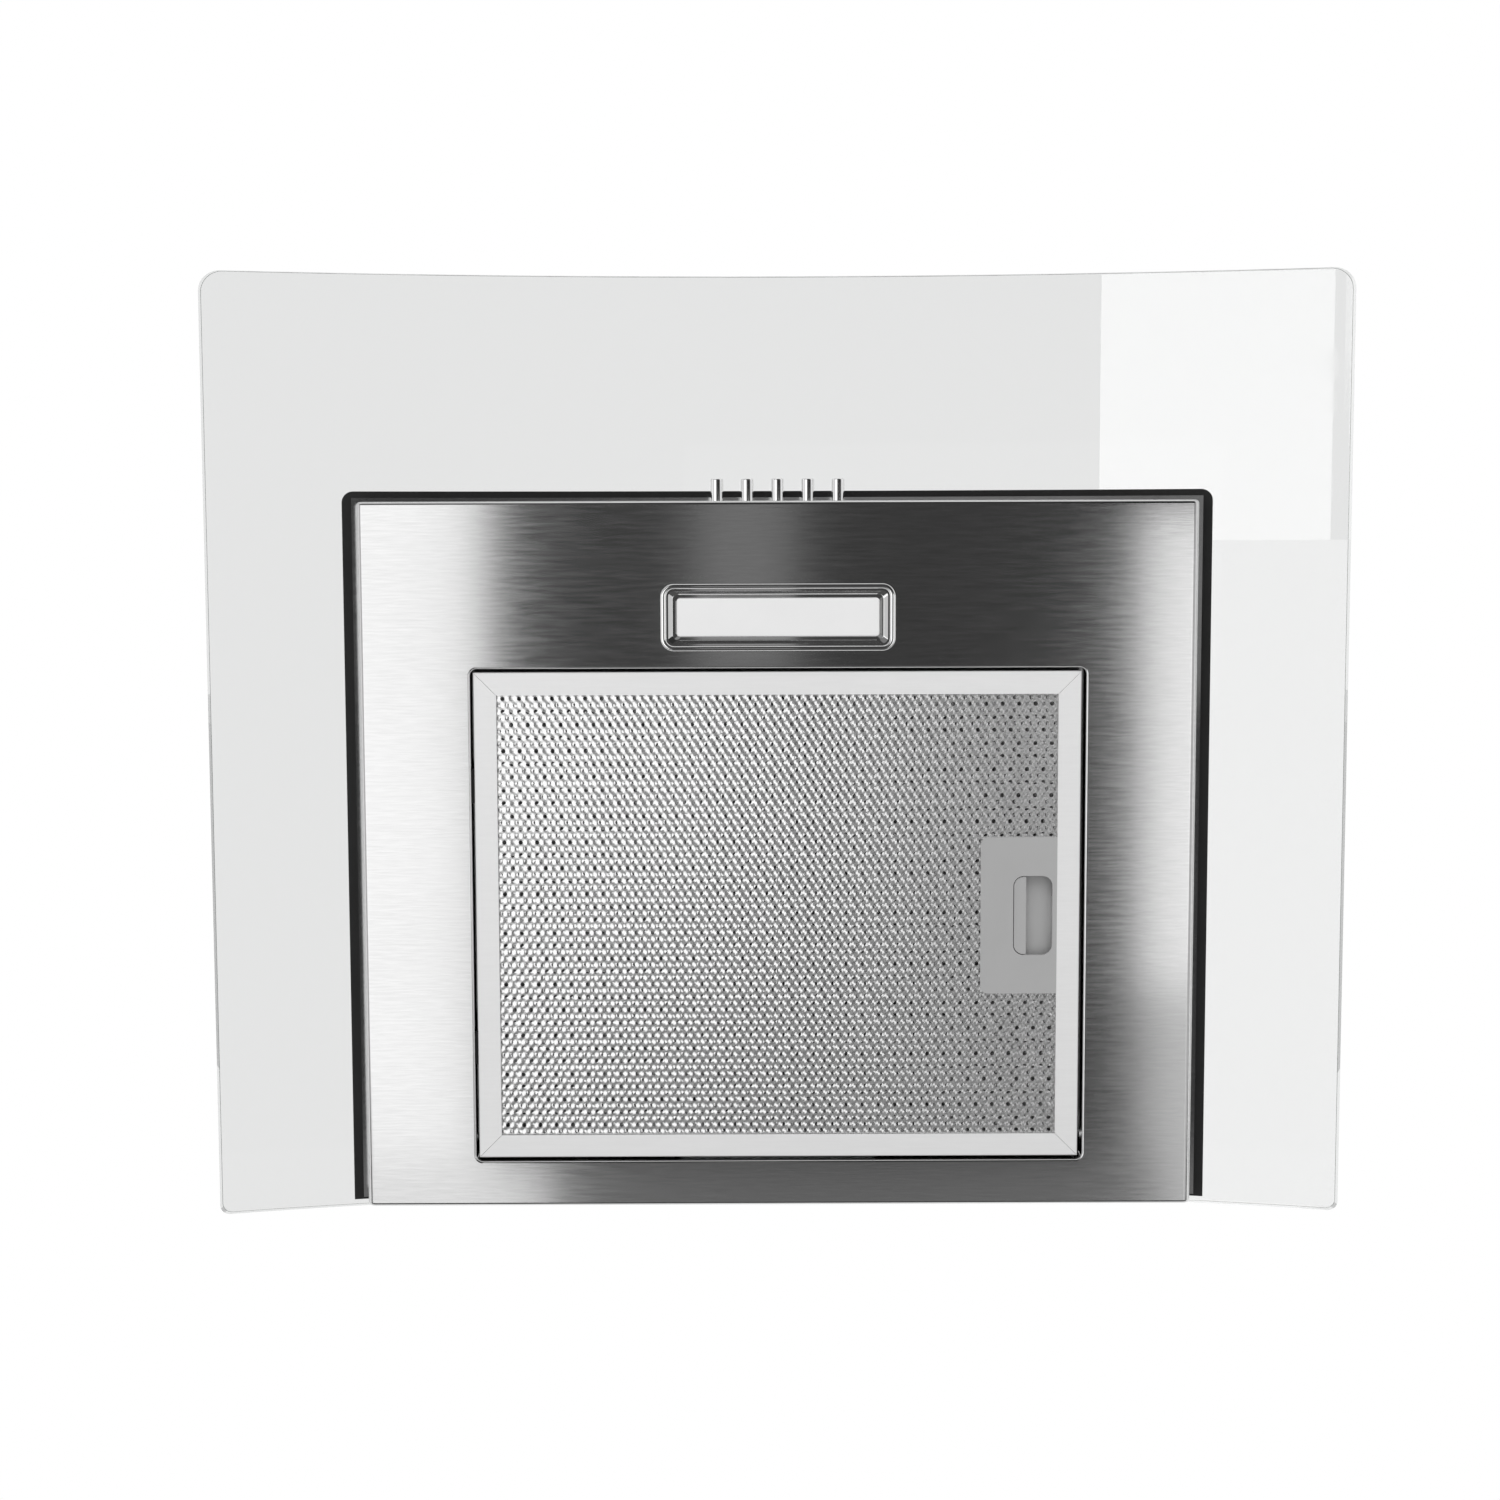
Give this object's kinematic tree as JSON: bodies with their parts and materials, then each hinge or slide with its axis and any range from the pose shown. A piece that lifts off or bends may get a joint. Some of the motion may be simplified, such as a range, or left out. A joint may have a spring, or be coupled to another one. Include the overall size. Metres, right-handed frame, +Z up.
{
  "type": "wall mount range hood",
  "caption": "Wall mount range hood: arched glass canopy, stainless body with swing-down mesh grease filter, lamp strip, push buttons, fan and telescopic chimney.",
  "frame": {"origin": "midpoint between the two hanging holes, in the plane of the kitchen wall", "axes": "+Z up, -Y out of the wall towards the cook, +X to the right seen from the room"},
  "size_m": [0.6, 0.5, 0.6016],
  "materials": {
    "stainless": "brushed along the width",
    "galvanised": "zinc-coated sheet, dull",
    "canopy_glass": "clear toughened glass, polished edges",
    "gasket_black": "matt foam rubber",
    "chrome_trim": "polished chrome",
    "lens_frosted": "frosted, translucent",
    "white_plastic": "moulded, plain",
    "board_white": "lacquered board with pale chips",
    "black_plastic": "moulded, fine grain",
    "fastener_zinc": "zinc-plated, dull bright",
    "filter_aluminium": "rolled rails, satin",
    "mesh_aluminium": "expanded foil, bright strands",
    "latch_grey": "moulded light grey, fine grain",
    "spring_steel": "drawn wire",
    "wheel_metal": "pressed blades, satin",
    "shaft_steel": "ground",
    "motor_grey": "cast end bells, grey"
  },
  "bodies": {
    "root": {"body_pan": "stainless", "glass_deck": "stainless", "edge_gasket": "gasket_black", "airway_gasket": "gasket_black", "glass_canopy": "canopy_glass", "box_gasket": "gasket_black", "motor_box": "galvanised", "hanging_plate": "galvanised", "clamp_screws": "fastener_zinc", "clamp_nuts": "fastener_zinc", "hanging_screws": "fastener_zinc", "lamp_bezel": "chrome_trim", "lamp_lens": "lens_frosted", "lamp_housing": "white_plastic", "led_board": "board_white", "button_guide": "black_plastic", "switch_block": "black_plastic", "guide_nuts": "fastener_zinc", "fan_scroll": "galvanised", "inlet_ring": "galvanised", "inlet_guard": "black_plastic", "fan_motor": "motor_grey", "motor_bracket": "galvanised", "bracket_screws": "fastener_zinc", "run_capacitor": "white_plastic", "capacitor_clip": "galvanised", "terminal_box": "white_plastic", "terminal_cover": "white_plastic", "cable_gland": "black_plastic", "duct_collar": "black_plastic", "flap_rod": "shaft_steel", "collar_screws": "fastener_zinc", "lower_chimney": "stainless", "chimney_screws": "fastener_zinc"},
    "filter": {"filter_frame": "filter_aluminium", "filter_net": "mesh_aluminium", "filter_pleats": "mesh_aluminium", "filter_back_net": "mesh_aluminium", "filter_tongues": "filter_aluminium", "latch_plate": "latch_grey", "latch_spring": "spring_steel"},
    "latch": {"latch_slider": "latch_grey"},
    "button_body_1": {"button_1": "chrome_trim", "plunger_1": "black_plastic"},
    "button_body_2": {"button_2": "chrome_trim", "plunger_2": "black_plastic"},
    "button_body_3": {"button_3": "chrome_trim", "plunger_3": "black_plastic"},
    "button_body_4": {"button_4": "chrome_trim", "plunger_4": "black_plastic"},
    "button_body_5": {"button_5": "chrome_trim", "plunger_5": "black_plastic"},
    "fan": {"fan_wheel": "wheel_metal", "fan_shaft": "shaft_steel", "fan_nut": "fastener_zinc"},
    "front_damper": {"front_flap": "black_plastic"},
    "rear_damper": {"rear_flap": "black_plastic"},
    "chimney_top": {"upper_chimney": "stainless", "chimney_bracket": "galvanised", "top_screws": "fastener_zinc"}
  },
  "joints": [
    {"name": "filter_swing", "type": "hinge", "parent": "root", "child": "filter", "pos_m": [-0.1603, -0.1613, -0.2802], "axis": [0, 1, 0], "range_deg": [0, 60]},
    {"name": "latch_slide", "type": "slide", "parent": "filter", "child": "latch", "axis": [1, 0, 0], "range_m": [0, 0.005], "stiffness_N_per_m": 400, "springref_m": 0.006},
    {"name": "button_1_press", "type": "slide", "parent": "root", "child": "button_body_1", "axis": [0, 1, 0], "range_m": [0, 0.004], "stiffness_N_per_m": 300, "springref_m": -0.001},
    {"name": "button_2_press", "type": "slide", "parent": "root", "child": "button_body_2", "axis": [0, 1, 0], "range_m": [0, 0.004], "stiffness_N_per_m": 300, "springref_m": -0.001},
    {"name": "button_3_press", "type": "slide", "parent": "root", "child": "button_body_3", "axis": [0, 1, 0], "range_m": [0, 0.004], "stiffness_N_per_m": 300, "springref_m": -0.001},
    {"name": "button_4_press", "type": "slide", "parent": "root", "child": "button_body_4", "axis": [0, 1, 0], "range_m": [0, 0.004], "stiffness_N_per_m": 300, "springref_m": -0.001},
    {"name": "button_5_press", "type": "slide", "parent": "root", "child": "button_body_5", "axis": [0, 1, 0], "range_m": [0, 0.004], "stiffness_N_per_m": 300, "springref_m": -0.001},
    {"name": "fan_spin", "type": "hinge", "parent": "root", "child": "fan", "pos_m": [0, -0.102, -0.134], "axis": [1, 0, 0], "continuous": true},
    {"name": "front_flap_swing", "type": "hinge", "parent": "root", "child": "front_damper", "pos_m": [0, -0.088, 0.008], "axis": [-1, 0, 0], "range_deg": [0, 75]},
    {"name": "rear_flap_swing", "type": "hinge", "parent": "root", "child": "rear_damper", "pos_m": [0, -0.088, 0.008], "axis": [1, 0, 0], "range_deg": [0, 75]},
    {"name": "chimney_slide", "type": "slide", "parent": "root", "child": "chimney_top", "axis": [0, 0, 1], "range_m": [0, 0.38]}
  ]
}
